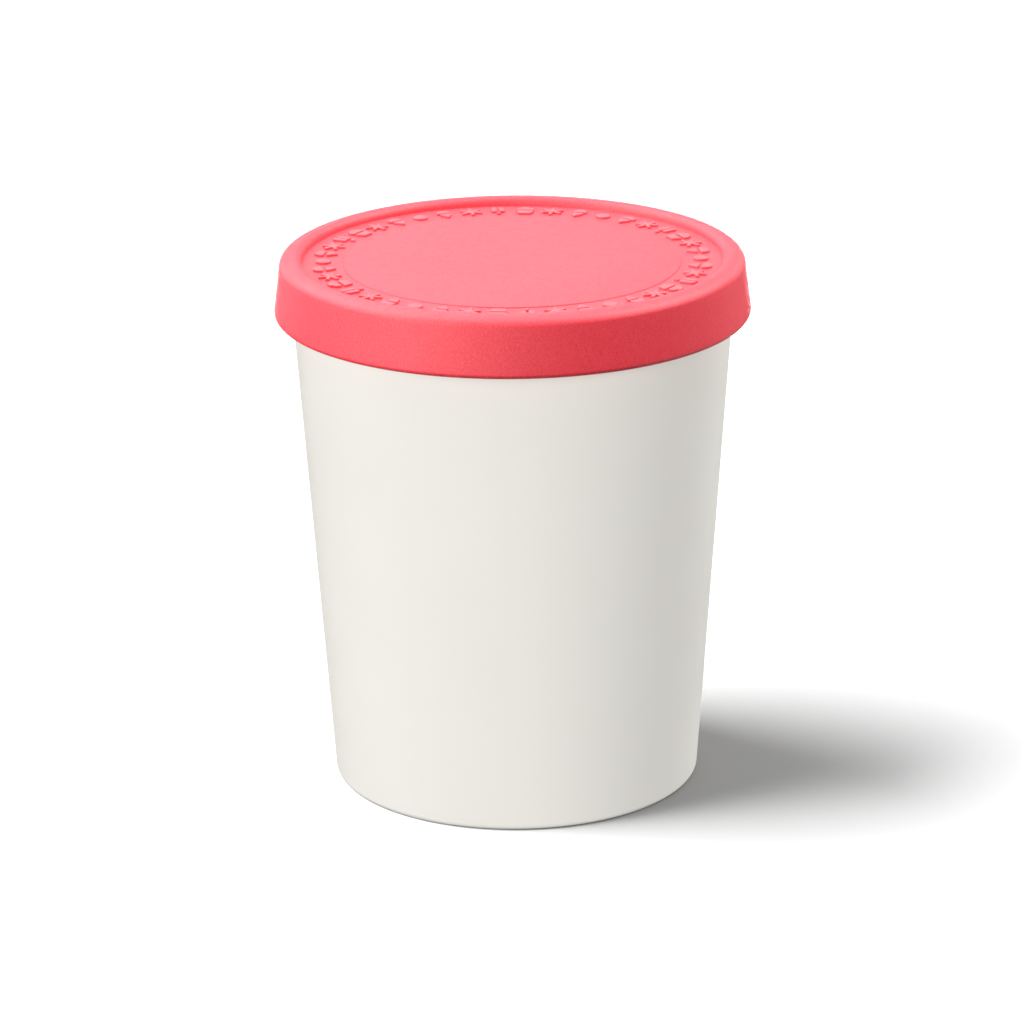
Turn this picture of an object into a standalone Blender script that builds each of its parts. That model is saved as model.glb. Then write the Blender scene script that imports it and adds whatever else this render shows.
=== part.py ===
"""Ice cream tub: a shut, round, tapered plastic tub under a soft silicone lid.

The tub is one solid, because it is shut and nothing of its inside shows. The lid is a cap that
only rests over the tub's rim. Its top is sunk inside a rounded rim, and on the sunk panel lie a
low round disc and a ring of small raised motifs: dots, cones, cups, lollies and snowflakes.

Everything is in metres with +Z up. The origin is on the axis, at the level the tub stands on.
"""

import math

import bmesh
import bpy
from mathutils import Matrix, Vector

# Whole object
TOTAL_HEIGHT = 0.1490
SIDES = 72
CLEARANCE = 0.0003

# Lid, outside
LID_RADIUS = 0.0650
LID_HEIGHT = 0.0164
SKIRT_DRAFT = math.radians(7.0)
LIP_ROUNDING = 0.0012
LIP_THICKNESS = 0.0027
LIP_INNER_ROUNDING = 0.0006
SHOULDER_REACH = 0.0040
SHOULDER_DROP = 0.0028

# Lid, top
PANEL_RADIUS = 0.0572
PANEL_SINK = 0.0025
PANEL_THICKNESS = 0.0024
RIM_INNER_REACH = 0.0021
DISC_RADIUS = 0.0458
DISC_RISE = 0.0003
DISC_SLOPE = 0.0003

# Ring of raised motifs on the lid
MOTIF_RING_RADIUS = 0.05135
MOTIF_HEIGHT = 0.0065
MOTIF_RISE = 0.00065
MOTIF_ROOT = 0.0008
MOTIF_GAP = 0.0007
MOTIF_CORNER = 0.00035
ARC_STEP = math.radians(24)
DOT_RADIUS = 0.0021
SECTORS = 6
SECTOR_MOTIFS = ("dot", "cone", "snowflake", "cup", "lolly", "snowflake", "cone")

# Tub
TUB_MOUTH_RADIUS = 0.05997
TUB_BASE_RADIUS = 0.05063
TUB_TOP_ROUNDING = 0.0008
TUB_BASE_ROUNDING = 0.0018
FOOT_WIDTH = 0.0030
BASE_SINK = 0.0012
BASE_SLOPE = 0.0016

# Levels and radii worked out from the sizes above
LIP_LEVEL = TOTAL_HEIGHT - LID_HEIGHT
PANEL_LEVEL = TOTAL_HEIGHT - PANEL_SINK
UNDERSIDE_LEVEL = PANEL_LEVEL - PANEL_THICKNESS
TUB_TOP_LEVEL = UNDERSIDE_LEVEL - CLEARANCE
TUB_TAPER = math.atan2(TUB_MOUTH_RADIUS - TUB_BASE_RADIUS, LIP_LEVEL)

# Colours (linear), roughness
SILICONE_COLOUR = (0.93, 0.13, 0.17, 1.0)
SILICONE_ROUGHNESS = 0.62
TUB_COLOUR = (0.86, 0.84, 0.78, 1.0)
TUB_ROUGHNESS = 0.38


def tub_radius(level):
    """Radius of the tapered wall at a height."""
    return TUB_BASE_RADIUS + level * math.tan(TUB_TAPER)


def arc(centre, radii, start, end, steps):
    """Points on an elliptical arc, from one angle to another, both in degrees."""
    points = []
    for step in range(steps + 1):
        angle = math.radians(start + (end - start) * step / steps)
        x = centre[0] + radii[0] * math.cos(angle)
        y = centre[1] + radii[1] * math.sin(angle)
        points.append((x, y))
    return points


def lid_profile():
    """Half section of the lid, from the middle of its underside to the middle of its top."""
    draft = math.degrees(SKIRT_DRAFT)
    lip_inner = LID_RADIUS - LIP_THICKNESS
    inner_top = tub_radius(TUB_TOP_LEVEL) + CLEARANCE

    # The shoulder's ellipse touches the drafted skirt at this parameter.
    touch = math.atan2(SHOULDER_DROP * math.sin(SKIRT_DRAFT), SHOULDER_REACH * math.cos(SKIRT_DRAFT))
    shoulder_level = TOTAL_HEIGHT - SHOULDER_DROP
    touch_level = shoulder_level + SHOULDER_DROP * math.sin(touch)
    skirt_rise = touch_level - LIP_LEVEL - LIP_ROUNDING
    touch_radius = LID_RADIUS - skirt_rise * math.tan(SKIRT_DRAFT)
    shoulder_radius = touch_radius - SHOULDER_REACH * math.cos(touch)

    lip_centre = (LID_RADIUS - LIP_ROUNDING, LIP_LEVEL + LIP_ROUNDING)
    lip_inner_centre = (lip_inner + LIP_INNER_ROUNDING, LIP_LEVEL + LIP_INNER_ROUNDING)
    inner_wall_centre = (PANEL_RADIUS + RIM_INNER_REACH, PANEL_LEVEL)

    profile = [(inner_top, UNDERSIDE_LEVEL)]
    profile += arc(lip_inner_centre, (LIP_INNER_ROUNDING, LIP_INNER_ROUNDING), 180, 270, steps=2)
    profile += arc(lip_centre, (LIP_ROUNDING, LIP_ROUNDING), -90, draft, steps=4)
    profile += arc(
        (shoulder_radius, shoulder_level),
        (SHOULDER_REACH, SHOULDER_DROP),
        math.degrees(touch),
        90,
        steps=8,
    )
    profile += arc(inner_wall_centre, (RIM_INNER_REACH, PANEL_SINK), 90, 180, steps=6)
    profile.append((DISC_RADIUS + DISC_SLOPE, PANEL_LEVEL))
    profile.append((DISC_RADIUS, PANEL_LEVEL + DISC_RISE))
    return profile


def tub_profile():
    """Half section of the tub, from the middle of its base to the middle of its top."""
    taper = math.degrees(TUB_TAPER)
    foot_centre_radius = TUB_BASE_RADIUS + TUB_BASE_ROUNDING * math.tan(TUB_TAPER) - TUB_BASE_ROUNDING
    foot_centre = (foot_centre_radius, TUB_BASE_ROUNDING)
    foot_inner = foot_centre_radius - FOOT_WIDTH
    top_radius = tub_radius(TUB_TOP_LEVEL)
    top_centre = (top_radius - TUB_TOP_ROUNDING, TUB_TOP_LEVEL - TUB_TOP_ROUNDING)

    profile = [(foot_inner - BASE_SLOPE, BASE_SINK), (foot_inner, 0.0)]
    profile += arc(foot_centre, (TUB_BASE_ROUNDING, TUB_BASE_ROUNDING), -90, -taper, steps=5)
    profile += arc(top_centre, (TUB_TOP_ROUNDING, TUB_TOP_ROUNDING), -taper, 90, steps=3)
    return profile


def turned(profile):
    """Turn a half section round the Z axis and close both of its ends with flat faces."""
    bm = bmesh.new()
    verts = [bm.verts.new((radius, 0.0, level)) for radius, level in profile]
    edges = [bm.edges.new(pair) for pair in zip(verts, verts[1:])]
    bmesh.ops.spin(
        bm,
        geom=verts + edges,
        cent=(0.0, 0.0, 0.0),
        axis=(0.0, 0.0, 1.0),
        angle=2.0 * math.pi,
        steps=SIDES,
        use_merge=True,
    )
    bmesh.ops.remove_doubles(bm, verts=bm.verts, dist=1e-6)
    rims = [edge for edge in bm.edges if edge.is_boundary]
    bmesh.ops.edgeloop_fill(bm, edges=rims)
    bmesh.ops.recalc_face_normals(bm, faces=bm.faces)
    return bm


def rounded(corners):
    """An outline from anticlockwise corners (x, y, radius), each one rounded by its radius."""
    outline = []
    for index, (x, y, radius) in enumerate(corners):
        here = Vector((x, y))
        back = (Vector(corners[index - 1][:2]) - here).normalized()
        ahead = (Vector(corners[(index + 1) % len(corners)][:2]) - here).normalized()
        bend = math.pi - back.angle(ahead)
        convex = ahead.x * back.y - ahead.y * back.x > 0.0
        reach = radius * math.tan(bend / 2)
        inward = (back + ahead).normalized() * math.hypot(radius, reach)
        centre = here + inward
        start = here + back * reach - centre
        steps = max(1, round(bend / ARC_STEP)) if radius > MOTIF_CORNER else 1
        for step in range(steps + 1):
            turn = bend * step / steps * (1.0 if convex else -1.0)
            outline.append(tuple(centre + Matrix.Rotation(turn, 2) @ start))
    return outline


def mirrored(corners):
    """The corners with their mirror images on the other side of the motif's middle line."""
    return corners + [(-x, y, radius) for x, y, radius in reversed(corners)]


def dot():
    """A round dot."""
    return [arc((0.0, 0.0), (DOT_RADIUS, DOT_RADIUS), 0, 330, steps=11)]


def cone():
    """An ice cream cone: a round scoop over a pointed wafer."""
    top = MOTIF_HEIGHT / 2
    scoop_reach = 0.33 * MOTIF_HEIGHT
    scoop_foot = 0.08 * MOTIF_HEIGHT
    wafer_reach = 0.31 * MOTIF_HEIGHT
    wafer_top = scoop_foot - MOTIF_GAP
    tip_level = -0.56 * MOTIF_HEIGHT
    scoop_radius = 0.96 * scoop_reach
    scoop = mirrored([(scoop_reach, scoop_foot, MOTIF_CORNER), (scoop_reach, top, scoop_radius)])
    wafer = [
        (0.0, tip_level, 1.3 * MOTIF_CORNER),
        (wafer_reach, wafer_top, MOTIF_CORNER),
        (-wafer_reach, wafer_top, MOTIF_CORNER),
    ]
    return [rounded(scoop), rounded(wafer)]


def cup():
    """A tapered cup under three scoops that run together."""
    top = MOTIF_HEIGHT / 2
    foot_reach = 0.26 * MOTIF_HEIGHT
    cup_reach = 0.40 * MOTIF_HEIGHT
    cup_top = -0.07 * MOTIF_HEIGHT
    scoops_foot = cup_top + MOTIF_GAP
    side_reach = 0.38 * MOTIF_HEIGHT
    side_top = 0.36 * MOTIF_HEIGHT
    upper_reach = 0.19 * MOTIF_HEIGHT
    side_radius = 0.13 * MOTIF_HEIGHT
    upper_radius = 0.10 * MOTIF_HEIGHT
    notch_radius = 0.6 * MOTIF_CORNER
    body = mirrored([(foot_reach, -top, MOTIF_CORNER), (cup_reach, cup_top, MOTIF_CORNER)])
    scoops = mirrored(
        [
            (side_reach, scoops_foot, MOTIF_CORNER),
            (side_reach, side_top, side_radius),
            (upper_reach, side_top, notch_radius),
            (upper_reach, top, upper_radius),
        ]
    )
    return [rounded(body), rounded(scoops)]


def lolly():
    """An ice lolly: a bar with a round end and a groove down its middle, on a flat stick."""
    top = MOTIF_HEIGHT / 2
    bar_reach = 0.29 * MOTIF_HEIGHT
    bar_foot = -0.17 * MOTIF_HEIGHT
    bar_radius = 0.19 * MOTIF_HEIGHT
    stick_reach = 0.085 * MOTIF_HEIGHT
    half_groove = 0.04 * MOTIF_HEIGHT
    outer = [(bar_reach, bar_foot, MOTIF_CORNER), (bar_reach, top, bar_radius)]
    inner = [(half_groove, top, MOTIF_CORNER), (half_groove, bar_foot, MOTIF_CORNER)]
    half = outer + inner
    other_half = [(-x, y, radius) for x, y, radius in reversed(half)]
    stick = mirrored(
        [(stick_reach, -top, MOTIF_CORNER), (stick_reach, bar_foot - MOTIF_GAP, MOTIF_CORNER)]
    )
    return [rounded(half), rounded(other_half), rounded(stick)]


def snowflake():
    """A plain six-armed snowflake."""
    arms = 6
    arm_length = MOTIF_HEIGHT / 2
    half_width = 0.085 * MOTIF_HEIGHT
    notch_distance = half_width / math.sin(math.pi / arms)
    corners = []
    for arm in range(arms):
        turn = math.radians(90) + arm * 2.0 * math.pi / arms
        along = Vector((math.cos(turn), math.sin(turn)))
        across = Vector((-along.y, along.x))
        for side in (-half_width, half_width):
            tip = along * arm_length + across * side
            corners.append((tip.x, tip.y, MOTIF_CORNER))
        notch = Matrix.Rotation(math.pi / arms, 2) @ along * notch_distance
        corners.append((notch.x, notch.y, 0.6 * MOTIF_CORNER))
    return [rounded(corners)]


MOTIFS = {"dot": dot, "cone": cone, "cup": cup, "lolly": lolly, "snowflake": snowflake}


def upright_block(outline, height):
    """A block with the outline as its base, at the origin."""
    bm = bmesh.new()
    base = bm.faces.new([bm.verts.new((x, y, 0.0)) for x, y in outline])
    raised = bmesh.ops.extrude_face_region(bm, geom=[base])
    top = [item for item in raised["geom"] if isinstance(item, bmesh.types.BMVert)]
    bmesh.ops.translate(bm, vec=(0.0, 0.0, height), verts=top)
    bmesh.ops.recalc_face_normals(bm, faces=bm.faces)
    return bm


def motif_blocks():
    """The blocks of the ring of motifs, each with its foot sunk into the panel."""
    blocks = []
    count = SECTORS * len(SECTOR_MOTIFS)
    for index in range(count):
        # A motif's top points away from the axis.
        turn = 2.0 * math.pi * index / count
        outward = Matrix.Rotation(turn, 4, "Z") @ Matrix.Translation((MOTIF_RING_RADIUS, 0.0, 0.0))
        place = Matrix.Translation((0.0, 0.0, PANEL_LEVEL - MOTIF_ROOT)) @ outward
        place = place @ Matrix.Rotation(-math.pi / 2, 4, "Z")
        for outline in MOTIFS[SECTOR_MOTIFS[index % len(SECTOR_MOTIFS)]]():
            bm = upright_block(outline, MOTIF_ROOT + MOTIF_RISE)
            bm.transform(place)
            blocks.append(object_from(bm, "motif_%02d" % index))
    return blocks


def object_from(bm, name):
    """Turn a bmesh into a linked object."""
    mesh = bpy.data.meshes.new(name)
    bm.to_mesh(mesh)
    bm.free()
    obj = bpy.data.objects.new(name, mesh)
    bpy.context.scene.collection.objects.link(obj)
    return obj


def fuse(target, pieces):
    """Join closed pieces to the target with one Boolean union, and apply it."""
    group = bpy.data.collections.new("pieces_to_fuse")
    bpy.context.scene.collection.children.link(group)
    for piece in pieces:
        bpy.context.scene.collection.objects.unlink(piece)
        group.objects.link(piece)
    union = target.modifiers.new("fuse", "BOOLEAN")
    union.operation = "UNION"
    union.solver = "EXACT"
    union.operand_type = "COLLECTION"
    union.collection = group
    depsgraph = bpy.context.evaluated_depsgraph_get()
    fused = bpy.data.meshes.new_from_object(target.evaluated_get(depsgraph))
    target.modifiers.clear()
    plain = target.data
    target.data = fused
    bpy.data.meshes.remove(plain)
    for piece in pieces:
        bpy.data.objects.remove(piece)
    bpy.data.collections.remove(group)


def finish(obj, material):
    """Give the object its one material and smooth shading that breaks at real edges."""
    obj.data.materials.clear()
    obj.data.materials.append(material)
    obj.data.shade_smooth()
    obj.data.set_sharp_from_angle(angle=math.radians(30))


def principled(name, colour, roughness):
    """A plain Principled material."""
    material = bpy.data.materials.new(name)
    material.use_nodes = True
    shader = material.node_tree.nodes["Principled BSDF"]
    shader.inputs["Base Color"].default_value = colour
    shader.inputs["Roughness"].default_value = roughness
    shader.inputs["Metallic"].default_value = 0.0
    return material


def build_tub():
    """The tub, solid up to the underside of the lid."""
    tub = object_from(turned(tub_profile()), "tub")
    finish(tub, principled("tub_plastic", TUB_COLOUR, TUB_ROUGHNESS))


def build_lid():
    """The silicone lid with its ring of motifs."""
    lid = object_from(turned(lid_profile()), "lid")
    fuse(lid, motif_blocks())
    finish(lid, principled("lid_silicone", SILICONE_COLOUR, SILICONE_ROUGHNESS))


for old in list(bpy.data.objects):
    bpy.data.objects.remove(old, do_unlink=True)
build_tub()
build_lid()
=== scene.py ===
"""Looks of the ice cream tub: satin white tub, soft coral lid, floor, lights and camera."""

import math

import bmesh
import bpy
from mathutils import Matrix, Vector


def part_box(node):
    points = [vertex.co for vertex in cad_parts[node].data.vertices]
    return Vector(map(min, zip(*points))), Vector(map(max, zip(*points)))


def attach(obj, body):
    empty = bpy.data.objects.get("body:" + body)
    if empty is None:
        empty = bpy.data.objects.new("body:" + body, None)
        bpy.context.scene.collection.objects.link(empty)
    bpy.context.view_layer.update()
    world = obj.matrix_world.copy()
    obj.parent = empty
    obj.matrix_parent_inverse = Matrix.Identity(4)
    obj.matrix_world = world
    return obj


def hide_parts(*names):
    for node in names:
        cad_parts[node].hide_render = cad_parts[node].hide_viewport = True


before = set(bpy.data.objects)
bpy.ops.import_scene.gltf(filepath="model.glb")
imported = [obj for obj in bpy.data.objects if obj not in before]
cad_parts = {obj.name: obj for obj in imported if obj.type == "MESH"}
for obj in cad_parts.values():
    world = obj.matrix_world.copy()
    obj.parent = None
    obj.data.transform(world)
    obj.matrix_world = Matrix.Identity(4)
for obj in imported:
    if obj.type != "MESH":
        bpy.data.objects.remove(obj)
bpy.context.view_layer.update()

# Sizes read from the frame, in metres
TUB_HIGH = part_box("tub")[1]
LID_LOW, LID_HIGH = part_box("lid")
TOTAL_HEIGHT = LID_HIGH.z
LIP_LEVEL = LID_LOW.z
LID_RADIUS = LID_HIGH.x
TUB_TOP_LEVEL = TUB_HIGH.z
TUB_TOP_RADIUS = TUB_HIGH.x

MM = 0.001

# Fineness of the turned shapes
LID_SIDES = 288
TUB_SIDES = 240
WALL_RINGS = 24
SAME_POINT = 1e-6
SHARP_ANGLE = math.radians(40)

# Lid, outside
CLEARANCE = 0.3 * MM
SKIRT_DRAFT = math.radians(7.0)
LIP_ROUNDING = 1.2 * MM
LIP_THICKNESS = 2.7 * MM
LIP_INNER_ROUNDING = 0.6 * MM
SHOULDER_REACH = 4.0 * MM
SHOULDER_DROP = 2.8 * MM

# Lid, top
PANEL_RADIUS = 57.2 * MM
PANEL_LEVEL = TOTAL_HEIGHT - 2.5 * MM
CREASE_ROUNDING = 0.25 * MM
RIM_INNER_REACH = 2.1 * MM
DISC_RADIUS = 45.8 * MM
DISC_RISE = 0.3 * MM
DISC_ROUNDING = 0.15 * MM

# Ring of raised motifs on the lid
MOTIF_RING_RADIUS = 51.35 * MM
MOTIF_HEIGHT = 6.5 * MM
MOTIF_RISE = 0.65 * MM
MOTIF_ROOT = 0.8 * MM
MOTIF_GAP = 0.7 * MM
MOTIF_CORNER = 0.35 * MM
MOTIF_EDGE_ROUNDING = 0.24 * MM
MOTIF_SIDE_SLOPE = 0.05 * MM
ARC_STEP = math.radians(12)
DOT_RADIUS = 2.1 * MM
DOT_SIDES = 24
NOTCH_CORNER = 0.6 * MOTIF_CORNER
SECTORS = 6
SECTOR_MOTIFS = ("dot", "cone", "snowflake", "cup", "lolly", "snowflake", "cone")

# Tub
TUB_BASE_RADIUS = 50.63 * MM
TUB_TOP_ROUNDING = 0.8 * MM
TUB_BASE_ROUNDING = 1.8 * MM
FOOT_WIDTH = 3.0 * MM
BASE_SINK = 1.2 * MM
BASE_SLOPE = 1.6 * MM
TUB_TAPER = math.atan2(TUB_TOP_RADIUS - TUB_BASE_RADIUS, TUB_TOP_LEVEL)

# Sizes of the surface patterns
GRAIN_SIZE = 0.42 * MM
GRAIN_DEPTH = 0.05 * MM
MOTTLE_SIZE = 3.0 * MM
CLOUD_SIZE = 22.0 * MM
SKIN_SIZE = 0.8 * MM
SKIN_DEPTH = 0.01 * MM
SCATTER_SIZE = 0.8 * MM

# Where the painted highlight on the motif tops begins, above the centre disc and in from the
# panel's edge
TOPS_START = 0.1 * MM
TOPS_INSET = 1.0 * MM

# Colours between which a surface varies
LID_COLOURS = (0.80, 0.038, 0.060, 1.0), (0.88, 0.078, 0.102, 1.0)
# Paler colours of the painted highlight on the motif tops
MOTIF_TOP_HIGHLIGHT_COLOURS = (0.82, 0.082, 0.106, 1.0), (0.90, 0.118, 0.144, 1.0)
TUB_COLOURS = (0.882, 0.862, 0.799, 1.0), (0.887, 0.869, 0.808, 1.0)
PATTERN_LOW = 0.3
PATTERN_HIGH = 0.7

# A Mix node has several sockets of one name, so its colour sockets are found by number.
MIX_FACTOR, MIX_FIRST, MIX_SECOND, MIX_RESULT = 0, 6, 7, 2

# Floor
FLOOR_SIZE = 12.0

# Camera: where it stands and how it is turned, as found from the photo
CAMERA_DISTANCE = 1.2
CAMERA_HEIGHT = 0.48324
CAMERA_SIDE = -0.00069
CAMERA_PITCH = 0.3284
CAMERA_ROLL = -0.0092
SENSOR_WIDTH = 36.0
FRAME_PIXELS = 1024
FOCAL_PIXELS = 4574.1


def arc(centre, radii, start, end, steps):
    """Points on an elliptical arc, from one angle to another, both in degrees."""
    points = []
    for step in range(steps + 1):
        angle = math.radians(start + (end - start) * step / steps)
        x = centre[0] + radii[0] * math.cos(angle)
        y = centre[1] + radii[1] * math.sin(angle)
        points.append((x, y))
    return points


def round_arc(centre, radius, start, end, steps):
    """Points on a round arc."""
    return arc(centre, (radius, radius), start, end, steps)


def lid_profile():
    """Half section of the lid, from the middle of its underside to the middle of its top."""
    draft = math.degrees(SKIRT_DRAFT)
    lip_inner = LID_RADIUS - LIP_THICKNESS
    underside = TUB_TOP_LEVEL + CLEARANCE
    inner_top = TUB_TOP_RADIUS + CLEARANCE

    touch = math.atan2(
        SHOULDER_DROP * math.sin(SKIRT_DRAFT), SHOULDER_REACH * math.cos(SKIRT_DRAFT)
    )
    shoulder_level = TOTAL_HEIGHT - SHOULDER_DROP
    touch_level = shoulder_level + SHOULDER_DROP * math.sin(touch)
    skirt_rise = touch_level - LIP_LEVEL - LIP_ROUNDING
    touch_radius = LID_RADIUS - skirt_rise * math.tan(SKIRT_DRAFT)
    shoulder_radius = touch_radius - SHOULDER_REACH * math.cos(touch)

    lip_centre = (LID_RADIUS - LIP_ROUNDING, LIP_LEVEL + LIP_ROUNDING)
    lip_inner_centre = (lip_inner + LIP_INNER_ROUNDING, LIP_LEVEL + LIP_INNER_ROUNDING)
    wall_centre = (PANEL_RADIUS + RIM_INNER_REACH, PANEL_LEVEL)
    wall_end = 180 - math.degrees(math.asin(CREASE_ROUNDING / (TOTAL_HEIGHT - PANEL_LEVEL)))
    crease_centre = (PANEL_RADIUS - CREASE_ROUNDING, PANEL_LEVEL + CREASE_ROUNDING)
    disc_level = PANEL_LEVEL + DISC_RISE

    profile = [(0.0, underside), (inner_top * 0.5, underside), (inner_top, underside)]
    profile += round_arc(lip_inner_centre, LIP_INNER_ROUNDING, 180, 270, steps=6)
    profile += round_arc(lip_centre, LIP_ROUNDING, -90, draft, steps=14)
    skirt_low = profile[-1]
    profile += [
        (
            skirt_low[0] + (touch_radius - skirt_low[0]) * part,
            skirt_low[1] + (touch_level - skirt_low[1]) * part,
        )
        for part in (0.25, 0.5, 0.75)
    ]
    shoulder_centre = (shoulder_radius, shoulder_level)
    profile += arc(
        shoulder_centre, (SHOULDER_REACH, SHOULDER_DROP), math.degrees(touch), 90, steps=28
    )
    profile += arc(
        wall_centre, (RIM_INNER_REACH, TOTAL_HEIGHT - PANEL_LEVEL), 90, wall_end, steps=20
    )
    profile += round_arc(crease_centre, CREASE_ROUNDING, 0, -90, steps=5)
    disc_foot_centre = (DISC_RADIUS + DISC_ROUNDING * 2, PANEL_LEVEL + DISC_ROUNDING)
    disc_edge_centre = (DISC_RADIUS, disc_level - DISC_ROUNDING)
    profile += round_arc(disc_foot_centre, DISC_ROUNDING, -90, -180, steps=4)
    profile += round_arc(disc_edge_centre, DISC_ROUNDING, 0, 90, steps=4)
    profile += [(DISC_RADIUS * 0.5, disc_level), (0.0, disc_level)]
    return profile


def tub_profile():
    """Half section of the tub, from the middle of its base to the middle of its top."""
    taper = math.degrees(TUB_TAPER)
    foot_outer = TUB_BASE_RADIUS + TUB_BASE_ROUNDING * math.tan(TUB_TAPER) - TUB_BASE_ROUNDING
    foot_inner = foot_outer - FOOT_WIDTH
    top_centre = (TUB_TOP_RADIUS - TUB_TOP_ROUNDING, TUB_TOP_LEVEL - TUB_TOP_ROUNDING)
    sink_edge = foot_inner - BASE_SLOPE

    profile = [(0.0, BASE_SINK), (sink_edge * 0.5, BASE_SINK)]
    sink_radii = (BASE_SLOPE / 2, BASE_SINK / 2)
    foot_centre = (foot_outer, TUB_BASE_ROUNDING)
    profile += arc((sink_edge, BASE_SINK / 2), sink_radii, 90, 0, steps=8)
    profile += arc((foot_inner, BASE_SINK / 2), sink_radii, 180, 270, steps=8)
    profile += round_arc(foot_centre, TUB_BASE_ROUNDING, -90, -taper, steps=16)
    low = profile[-1]
    high = round_arc(top_centre, TUB_TOP_ROUNDING, -taper, 90, steps=8)
    for ring in range(1, WALL_RINGS):
        part = ring / WALL_RINGS
        profile.append(
            (low[0] + (high[0][0] - low[0]) * part, low[1] + (high[0][1] - low[1]) * part)
        )
    profile += high
    profile.append((0.0, TUB_TOP_LEVEL))
    return profile


def merged(profile):
    """The profile without points that lie on each other."""
    kept = [profile[0]]
    for point in profile[1:]:
        if math.dist(point, kept[-1]) > SAME_POINT:
            kept.append(point)
    return kept


def turned(name, profile, sides):
    """A closed body turned round the Z axis from a half section whose ends lie on the axis."""
    profile = merged(profile)
    bm = bmesh.new()
    low = bm.verts.new((0.0, 0.0, profile[0][1]))
    high = bm.verts.new((0.0, 0.0, profile[-1][1]))
    rings = []
    for radius, level in profile[1:-1]:
        ring = []
        for side in range(sides):
            turn = 2.0 * math.pi * side / sides
            ring.append(bm.verts.new((radius * math.cos(turn), radius * math.sin(turn), level)))
        rings.append(ring)
    for side in range(sides):
        after = (side + 1) % sides
        bm.faces.new((low, rings[0][after], rings[0][side]))
        bm.faces.new((high, rings[-1][side], rings[-1][after]))
        for inner, outer in zip(rings, rings[1:]):
            bm.faces.new((inner[side], inner[after], outer[after], outer[side]))
    bmesh.ops.recalc_face_normals(bm, faces=bm.faces)
    return object_from(bm, name)


def object_from(bm, name):
    """Turn a bmesh into a linked object."""
    mesh = bpy.data.meshes.new(name)
    bm.to_mesh(mesh)
    bm.free()
    obj = bpy.data.objects.new(name, mesh)
    bpy.context.scene.collection.objects.link(obj)
    return obj


def rounded(corners):
    """An outline from anticlockwise corners (x, y, radius): points and their outward normals."""
    outline = []
    for index, (x, y, radius) in enumerate(corners):
        here = Vector((x, y))
        back = (Vector(corners[index - 1][:2]) - here).normalized()
        ahead = (Vector(corners[(index + 1) % len(corners)][:2]) - here).normalized()
        bend = math.pi - back.angle(ahead)
        side = 1.0 if ahead.x * back.y - ahead.y * back.x > 0.0 else -1.0
        reach = radius * math.tan(bend / 2)
        centre = here + (back + ahead).normalized() * math.hypot(radius, reach)
        start = here + back * reach - centre
        steps = max(3, round(bend / ARC_STEP))
        for step in range(steps + 1):
            spoke = Matrix.Rotation(side * bend * step / steps, 2) @ start
            outline.append((centre + spoke, spoke.normalized() * side))
    return outline


def mirrored(corners):
    """The corners with their mirror images on the other side of the motif's middle line."""
    return corners + [(-x, y, radius) for x, y, radius in reversed(corners)]


def dot():
    """A round dot."""
    outline = []
    last = 360 - 360 / DOT_SIDES
    for x, y in round_arc((0.0, 0.0), 1.0, 0, last, steps=DOT_SIDES - 1):
        outline.append((Vector((x, y)) * DOT_RADIUS, Vector((x, y))))
    return [outline]


def cone():
    """An ice cream cone: a round scoop over a pointed wafer."""
    top = MOTIF_HEIGHT / 2
    scoop_reach = 0.33 * MOTIF_HEIGHT
    scoop_foot = 0.08 * MOTIF_HEIGHT
    wafer_reach = 0.31 * MOTIF_HEIGHT
    wafer_top = scoop_foot - MOTIF_GAP
    tip_level = -0.56 * MOTIF_HEIGHT
    scoop_radius = 0.96 * scoop_reach
    scoop = mirrored([(scoop_reach, scoop_foot, MOTIF_CORNER), (scoop_reach, top, scoop_radius)])
    wafer = [
        (0.0, tip_level, 1.3 * MOTIF_CORNER),
        (wafer_reach, wafer_top, MOTIF_CORNER),
        (-wafer_reach, wafer_top, MOTIF_CORNER),
    ]
    return [rounded(scoop), rounded(wafer)]


def cup():
    """A tapered cup under three scoops that run together."""
    top = MOTIF_HEIGHT / 2
    foot_reach = 0.26 * MOTIF_HEIGHT
    cup_reach = 0.40 * MOTIF_HEIGHT
    cup_top = -0.07 * MOTIF_HEIGHT
    scoops_foot = cup_top + MOTIF_GAP
    side_reach = 0.38 * MOTIF_HEIGHT
    side_top = 0.36 * MOTIF_HEIGHT
    upper_reach = 0.19 * MOTIF_HEIGHT
    side_radius = 0.13 * MOTIF_HEIGHT
    upper_radius = 0.10 * MOTIF_HEIGHT
    body = mirrored([(foot_reach, -top, MOTIF_CORNER), (cup_reach, cup_top, MOTIF_CORNER)])
    scoops = mirrored(
        [
            (side_reach, scoops_foot, MOTIF_CORNER),
            (side_reach, side_top, side_radius),
            (upper_reach, side_top, NOTCH_CORNER),
            (upper_reach, top, upper_radius),
        ]
    )
    return [rounded(body), rounded(scoops)]


def lolly():
    """An ice lolly: a bar with a round end and a groove down its middle, on a flat stick."""
    top = MOTIF_HEIGHT / 2
    bar_reach = 0.29 * MOTIF_HEIGHT
    bar_foot = -0.17 * MOTIF_HEIGHT
    bar_radius = 0.19 * MOTIF_HEIGHT
    stick_reach = 0.085 * MOTIF_HEIGHT
    half_groove = 0.04 * MOTIF_HEIGHT
    outer = [(bar_reach, bar_foot, MOTIF_CORNER), (bar_reach, top, bar_radius)]
    inner = [(half_groove, top, MOTIF_CORNER), (half_groove, bar_foot, MOTIF_CORNER)]
    half = outer + inner
    other_half = [(-x, y, radius) for x, y, radius in reversed(half)]
    stick = mirrored(
        [(stick_reach, -top, MOTIF_CORNER), (stick_reach, bar_foot - MOTIF_GAP, MOTIF_CORNER)]
    )
    return [rounded(half), rounded(other_half), rounded(stick)]


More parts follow.
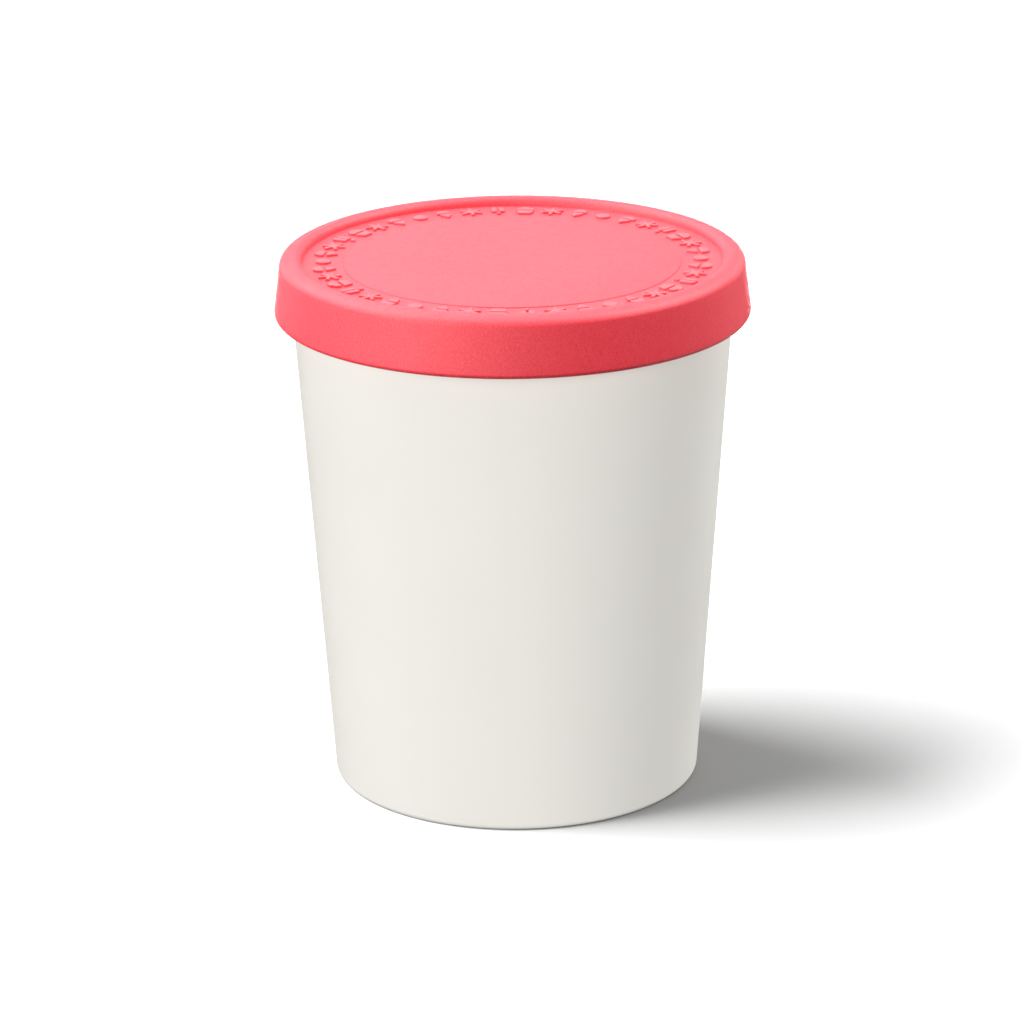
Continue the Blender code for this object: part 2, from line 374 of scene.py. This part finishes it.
def snowflake():
    """A plain six-armed snowflake."""
    arms = 6
    arm_length = MOTIF_HEIGHT / 2
    half_width = 0.085 * MOTIF_HEIGHT
    notch_distance = half_width / math.sin(math.pi / arms)
    corners = []
    for arm in range(arms):
        turn = math.radians(90) + arm * 2.0 * math.pi / arms
        along = Vector((math.cos(turn), math.sin(turn)))
        across = Vector((-along.y, along.x))
        for side in (-half_width, half_width):
            tip = along * arm_length + across * side
            corners.append((tip.x, tip.y, MOTIF_CORNER))
        notch = Matrix.Rotation(math.pi / arms, 2) @ along * notch_distance
        corners.append((notch.x, notch.y, NOTCH_CORNER))
    return [rounded(corners)]


MOTIFS = {"dot": dot, "cone": cone, "cup": cup, "lolly": lolly, "snowflake": snowflake}


def motif_block(outline):
    """A raised block with sloping sides and a rounded upper edge, its foot below the panel."""
    levels = [(-MOTIF_ROOT, -MOTIF_SIDE_SLOPE), (0.0, 0.0)]
    for drop, rise in round_arc((0.0, 0.0), MOTIF_EDGE_ROUNDING, 0, 90, steps=5):
        distance = MOTIF_SIDE_SLOPE + MOTIF_EDGE_ROUNDING - drop
        levels.append((MOTIF_RISE - MOTIF_EDGE_ROUNDING + rise, distance))
    bm = bmesh.new()
    rings = []
    for level, distance in levels:
        ring = []
        for point, normal in outline:
            place = point - normal * distance
            ring.append(bm.verts.new((place.x, place.y, level)))
        rings.append(ring)
    count = len(outline)
    for lower, upper in zip(rings, rings[1:]):
        for index in range(count):
            after = (index + 1) % count
            bm.faces.new((lower[index], lower[after], upper[after], upper[index]))
    bm.faces.new(rings[-1])
    bm.faces.new(list(reversed(rings[0])))
    bmesh.ops.recalc_face_normals(bm, faces=bm.faces)
    return bm


def motif_blocks():
    """The blocks of the ring of motifs, as one object."""
    joined = bmesh.new()
    count = SECTORS * len(SECTOR_MOTIFS)
    for index in range(count):
        # A motif's top points away from the axis.
        turn = 2.0 * math.pi * index / count
        outward = Matrix.Rotation(turn, 4, "Z") @ Matrix.Translation((MOTIF_RING_RADIUS, 0.0, 0.0))
        place = Matrix.Translation((0.0, 0.0, PANEL_LEVEL)) @ outward
        place = place @ Matrix.Rotation(-math.pi / 2, 4, "Z")
        for outline in MOTIFS[SECTOR_MOTIFS[index % len(SECTOR_MOTIFS)]]():
            block = motif_block(outline)
            block.transform(place)
            mesh = bpy.data.meshes.new("motif")
            block.to_mesh(mesh)
            block.free()
            joined.from_mesh(mesh)
            bpy.data.meshes.remove(mesh)
    return object_from(joined, "motif_blocks")


def fuse(target, pieces):
    """Join closed pieces to the target with one Boolean union, and apply it."""
    union = target.modifiers.new("fuse", "BOOLEAN")
    union.operation = "UNION"
    union.solver = "EXACT"
    union.object = pieces
    depsgraph = bpy.context.evaluated_depsgraph_get()
    fused = bpy.data.meshes.new_from_object(target.evaluated_get(depsgraph))
    target.modifiers.clear()
    plain = target.data
    target.data = fused
    bpy.data.meshes.remove(plain)
    bpy.data.objects.remove(pieces)


def shade(obj, material):
    """One material, and smooth shading that breaks only at sharp edges."""
    obj.data.materials.clear()
    obj.data.materials.append(material)
    obj.data.shade_smooth()
    obj.data.set_sharp_from_angle(angle=SHARP_ANGLE)


def new_material(name):
    """A new node material, with its node tree and its shader."""
    material = bpy.data.materials.new(name)
    material.use_nodes = True
    tree = material.node_tree
    return material, tree, tree.nodes["Principled BSDF"]


def noise(tree, coordinates, size, detail, roughness=0.5):
    """A noise texture whose features are about a given size, in metres."""
    node = tree.nodes.new("ShaderNodeTexNoise")
    node.inputs["Scale"].default_value = 1.0 / size
    node.inputs["Detail"].default_value = detail
    node.inputs["Roughness"].default_value = roughness
    tree.links.new(coordinates.outputs["Object"], node.inputs["Vector"])
    return node


def grey(value):
    """An opaque grey."""
    return (value, value, value, 1.0)


def ramp(tree, source, low_colour, high_colour):
    """Colours that follow a pattern from its low values to its high ones."""
    node = tree.nodes.new("ShaderNodeValToRGB")
    node.color_ramp.elements[0].position = PATTERN_LOW
    node.color_ramp.elements[0].color = low_colour
    node.color_ramp.elements[1].position = PATTERN_HIGH
    node.color_ramp.elements[1].color = high_colour
    tree.links.new(source.outputs["Fac"], node.inputs["Fac"])
    return node


def bump(tree, source, distance, strength):
    """A bump from a texture's value."""
    node = tree.nodes.new("ShaderNodeBump")
    node.inputs["Distance"].default_value = distance
    node.inputs["Strength"].default_value = strength
    tree.links.new(source.outputs["Fac"], node.inputs["Height"])
    return node


def painted_highlight_mask(tree, coordinates):
    """One on the tops of the raised motifs, where a highlight is painted, and nought elsewhere."""
    split = tree.nodes.new("ShaderNodeSeparateXYZ")
    tree.links.new(coordinates.outputs["Object"], split.inputs["Vector"])
    level = tree.nodes.new("ShaderNodeMapRange")
    level.inputs["From Min"].default_value = PANEL_LEVEL + DISC_RISE + TOPS_START
    level.inputs["From Max"].default_value = PANEL_LEVEL + MOTIF_RISE
    tree.links.new(split.outputs["Z"], level.inputs["Value"])
    flat = tree.nodes.new("ShaderNodeVectorMath")
    flat.operation = "MULTIPLY"
    flat.inputs[1].default_value = (1.0, 1.0, 0.0)
    tree.links.new(coordinates.outputs["Object"], flat.inputs[0])
    radius = tree.nodes.new("ShaderNodeVectorMath")
    radius.operation = "LENGTH"
    tree.links.new(flat.outputs["Vector"], radius.inputs[0])
    inside = tree.nodes.new("ShaderNodeMath")
    inside.operation = "LESS_THAN"
    inside.inputs[1].default_value = PANEL_RADIUS - TOPS_INSET
    tree.links.new(radius.outputs["Value"], inside.inputs[0])
    mask = tree.nodes.new("ShaderNodeMath")
    mask.operation = "MULTIPLY"
    tree.links.new(level.outputs["Result"], mask.inputs[0])
    tree.links.new(inside.outputs["Value"], mask.inputs[1])
    return mask


def silicone():
    """Matte coral silicone with a fine grain, and a painted highlight that makes the tops of the
    motifs paler.
    """
    material, tree, shader = new_material("coral_silicone")
    coordinates = tree.nodes.new("ShaderNodeTexCoord")
    grain = noise(tree, coordinates, GRAIN_SIZE, detail=2.0, roughness=0.6)
    mottle = noise(tree, coordinates, MOTTLE_SIZE, detail=3.0)
    colour = ramp(tree, grain, *LID_COLOURS)
    # Painted highlight: a paler colour on the motif tops
    top_highlight = ramp(tree, grain, *MOTIF_TOP_HIGHLIGHT_COLOURS)
    mask = painted_highlight_mask(tree, coordinates)
    mixed = tree.nodes.new("ShaderNodeMix")
    mixed.data_type = "RGBA"
    tree.links.new(mask.outputs["Value"], mixed.inputs[MIX_FACTOR])
    tree.links.new(colour.outputs["Color"], mixed.inputs[MIX_FIRST])
    tree.links.new(top_highlight.outputs["Color"], mixed.inputs[MIX_SECOND])
    tree.links.new(mixed.outputs[MIX_RESULT], shader.inputs["Base Color"])
    gloss = ramp(tree, mottle, grey(0.48), grey(0.52))
    tree.links.new(gloss.outputs["Color"], shader.inputs["Roughness"])
    relief = bump(tree, grain, GRAIN_DEPTH, strength=0.8)
    tree.links.new(relief.outputs["Normal"], shader.inputs["Normal"])
    shader.inputs["Subsurface Weight"].default_value = 0.6
    shader.inputs["Subsurface Radius"].default_value = (1.0, 0.5, 0.5)
    shader.inputs["Subsurface Scale"].default_value = SCATTER_SIZE
    shader.inputs["Specular IOR Level"].default_value = 0.53
    return material


def satin_plastic():
    """Warm white satin plastic."""
    material, tree, shader = new_material("warm_white_plastic")
    coordinates = tree.nodes.new("ShaderNodeTexCoord")
    cloud = noise(tree, coordinates, CLOUD_SIZE, detail=2.0)
    skin = noise(tree, coordinates, SKIN_SIZE, detail=2.0)
    colour = ramp(tree, cloud, *TUB_COLOURS)
    tree.links.new(colour.outputs["Color"], shader.inputs["Base Color"])
    gloss = ramp(tree, cloud, grey(0.40), grey(0.46))
    tree.links.new(gloss.outputs["Color"], shader.inputs["Roughness"])
    relief = bump(tree, skin, SKIN_DEPTH, strength=0.3)
    tree.links.new(relief.outputs["Normal"], shader.inputs["Normal"])
    shader.inputs["Specular IOR Level"].default_value = 0.4
    return material


def build_tub():
    """The tub, in place of its CAD node."""
    tub = turned("tub_body", tub_profile(), TUB_SIDES)
    shade(tub, satin_plastic())
    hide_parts("tub")
    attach(tub, "root")


def build_lid():
    """The lid with its ring of motifs, in place of its CAD node."""
    lid = turned("lid_cap", lid_profile(), LID_SIDES)
    fuse(lid, motif_blocks())
    shade(lid, silicone())
    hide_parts("lid")
    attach(lid, "root")


def build_floor():
    """A plain mid-grey floor that its own lights make white.

    It is hidden from the rays that leave the tub and the lid, so it gives them no light back.
    """
    bm = bmesh.new()
    bmesh.ops.create_grid(bm, x_segments=1, y_segments=1, size=FLOOR_SIZE / 2)
    floor = object_from(bm, "floor")
    material, _tree, shader = new_material("pale_floor")
    shader.inputs["Base Color"].default_value = grey(0.30)
    shader.inputs["Roughness"].default_value = 1.0
    shader.inputs["Specular IOR Level"].default_value = 0.0
    floor.data.materials.append(material)
    floor.visible_diffuse = False
    floor.visible_glossy = False
    floor.visible_transmission = False
    floor.visible_shadow = False


def aim(light, direction):
    """Turn a light so that it shines along a direction."""
    light.rotation_mode = "QUATERNION"
    light.rotation_quaternion = Vector(direction).to_track_quat("-Z", "Y")


def group(name, members):
    """A collection of objects, by their names, for lights that shine on these alone."""
    collection = bpy.data.collections.new(name)
    for member in members:
        collection.objects.link(bpy.data.objects[member])
    return collection


def sun(name, receivers, azimuth, elevation, brightness, spread):
    """A distant soft light that shines on its receivers alone.

    Azimuth 0 stands behind the camera, and 90 on the right. The angles and the spread are in
    degrees. A white surface that faces a light of brightness 1 looks just white.
    """
    data = bpy.data.lights.new(name, "SUN")
    data.energy = math.pi * brightness
    data.angle = math.radians(spread)
    light = bpy.data.objects.new(name, data)
    bpy.context.scene.collection.objects.link(light)
    light.light_linking.receiver_collection = receivers
    side = math.radians(azimuth)
    up = math.radians(elevation)
    toward = Vector((math.sin(side) * math.cos(up), -math.cos(side) * math.cos(up), math.sin(up)))
    aim(light, -toward)


def build_light():
    """Soft studio light: one set for the floor and its shadow, others for the tub and the lid.

    The brightness values were fitted to colours in the photo, then rounded and partly changed, so
    they suit the photo's viewing angle.
    """
    floor = group("lit_floor", ["floor"])
    tub = group("lit_tub", ["tub_body"])
    lid = group("lit_lid", ["lid_cap"])

    sun("floor_key", floor, -98, 48, 4.30, 51)
    sun("floor_low", floor, -69, 25, 1.50, 26)
    sun("floor_high", floor, -90, 65, 0.80, 40)
    sun("floor_top", floor, 0, 85, 1.10, 120)

    sun("tub_left_front", tub, -30, 8, 0.53, 32)
    sun("tub_left", tub, -70, 8, 0.43, 32)
    sun("tub_left_rear", tub, -110, 8, 0.25, 32)
    sun("tub_rear_left", tub, -155, 8, 0.41, 40)
    sun("tub_rear_right", tub, 135, 8, 0.80, 40)
    sun("tub_right", tub, 60, 8, 0.30, 45)
    sun("tub_low", tub, 40, -35, 0.28, 60)

    sun("lid_front", lid, -12, 8, 0.24, 40)
    sun("lid_left_front", lid, -48, 8, 0.52, 34)
    sun("lid_left", lid, -85, 8, 0.28, 40)
    sun("lid_rear_left", lid, -140, 8, 0.20, 40)
    sun("lid_rear_right", lid, 150, 8, 0.10, 32)
    sun("lid_rear", lid, 180, 19, 0.05, 24)
    sun("lid_rear_low", lid, 180, -18, 0.85, 30)
    sun("lid_right_low", lid, 120, -35, 0.17, 60)
    sun("lid_high_left", lid, -70, 45, 0.44, 45)
    sun("lid_high_left_rear", lid, -110, 45, 0.64, 45)
    sun("lid_high_rear", lid, -155, 45, 0.34, 45)
    sun("lid_high_right", lid, 90, 45, 0.75, 45)
    sun("lid_high_right_rear", lid, 130, 45, 0.44, 45)
    sun("lid_top", lid, 0, 85, 0.47, 60)

    world = bpy.data.worlds.new("surround")
    bpy.context.scene.world = world
    world.use_nodes = True
    background = world.node_tree.nodes["Background"]
    background.inputs["Color"].default_value = (1.0, 1.0, 1.0, 1.0)
    background.inputs["Strength"].default_value = 0.0


def build_camera():
    """The camera at the photo's viewing angle."""
    data = bpy.data.cameras.new("camera")
    data.sensor_width = SENSOR_WIDTH
    data.lens = SENSOR_WIDTH * FOCAL_PIXELS / FRAME_PIXELS
    camera = bpy.data.objects.new("camera", data)
    bpy.context.scene.collection.objects.link(camera)
    forward = Vector((0.0, math.cos(CAMERA_PITCH), -math.sin(CAMERA_PITCH)))
    right = Vector((1.0, 0.0, 0.0))
    up = right.cross(forward)
    rolled_right = right * math.cos(CAMERA_ROLL) + up * math.sin(CAMERA_ROLL)
    rolled_up = up * math.cos(CAMERA_ROLL) - right * math.sin(CAMERA_ROLL)
    turn = Matrix((rolled_right, rolled_up, -forward)).transposed()
    camera.rotation_mode = "QUATERNION"
    camera.rotation_quaternion = turn.to_quaternion()
    camera.location = (CAMERA_SIDE, -CAMERA_DISTANCE, CAMERA_HEIGHT)
    bpy.context.scene.camera = camera


bpy.context.scene.view_settings.view_transform = "Standard"
build_camera()
build_tub()
build_lid()
build_floor()
build_light()
